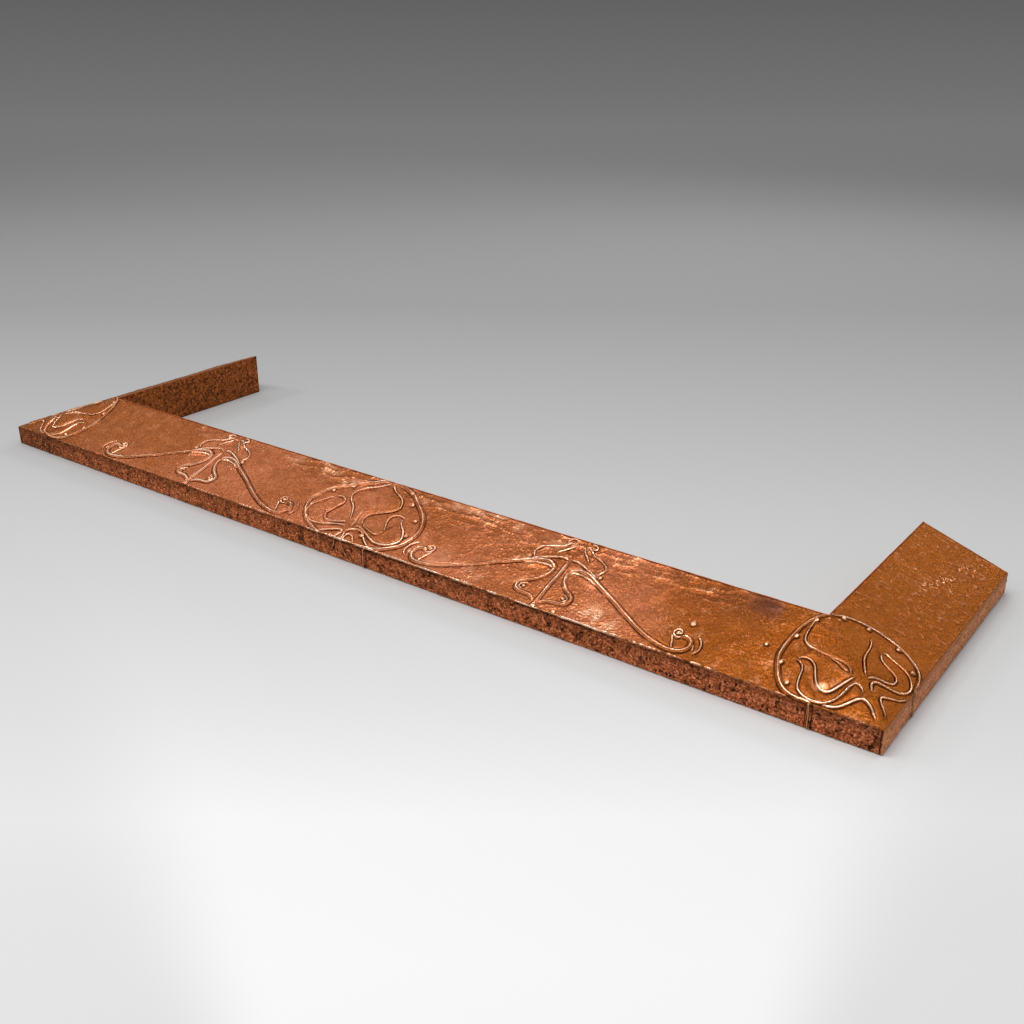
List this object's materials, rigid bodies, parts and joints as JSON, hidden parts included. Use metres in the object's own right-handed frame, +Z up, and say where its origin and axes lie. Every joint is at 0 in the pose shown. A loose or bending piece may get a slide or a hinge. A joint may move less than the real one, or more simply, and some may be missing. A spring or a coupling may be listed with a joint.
{
  "type": "fire fender",
  "caption": "Low three-sided hearth kerb of bevelled timber rails clad in hammered copper sheet, mitred at the front corners, standing flat on the floor round a fireplace.",
  "frame": {"origin": "centre of the footprint on the floor", "axes": "+X along the front rail to its right end as seen from the room, +Y from the front rail towards the wall, +Z up"},
  "size_m": [1.32, 0.382, 0.063],
  "materials": {
    "copper": "hammered and chased sheet copper, aged",
    "copper_dark": "sheet copper under dark patina",
    "copper_tack": "dull copper",
    "timber": "sawn softwood, unfinished",
    "dowel": "turned hardwood",
    "iron": "black wrought iron"
  },
  "bodies": {
    "root": {"front_core": "timber", "left_core": "timber", "right_core": "timber", "front_top_sheet": "copper", "left_top_sheet": "copper", "right_top_sheet": "copper", "front_lining": "copper_dark", "left_lining": "copper_dark", "right_lining": "copper_dark", "left_end_plate": "copper_dark", "right_end_plate": "copper_dark", "front_fascia_tacks": "copper_tack", "left_fascia_tacks": "copper_tack", "right_fascia_tacks": "copper_tack", "front_lining_tacks": "copper_tack", "left_lining_tacks": "copper_tack", "right_lining_tacks": "copper_tack", "left_end_tacks": "copper_tack", "right_end_tacks": "copper_tack", "left_corner_strap": "iron", "right_corner_strap": "iron", "left_strap_screws": "iron", "right_strap_screws": "iron", "left_mitre_dowels": "dowel", "right_mitre_dowels": "dowel"}
  },
  "joints": []
}
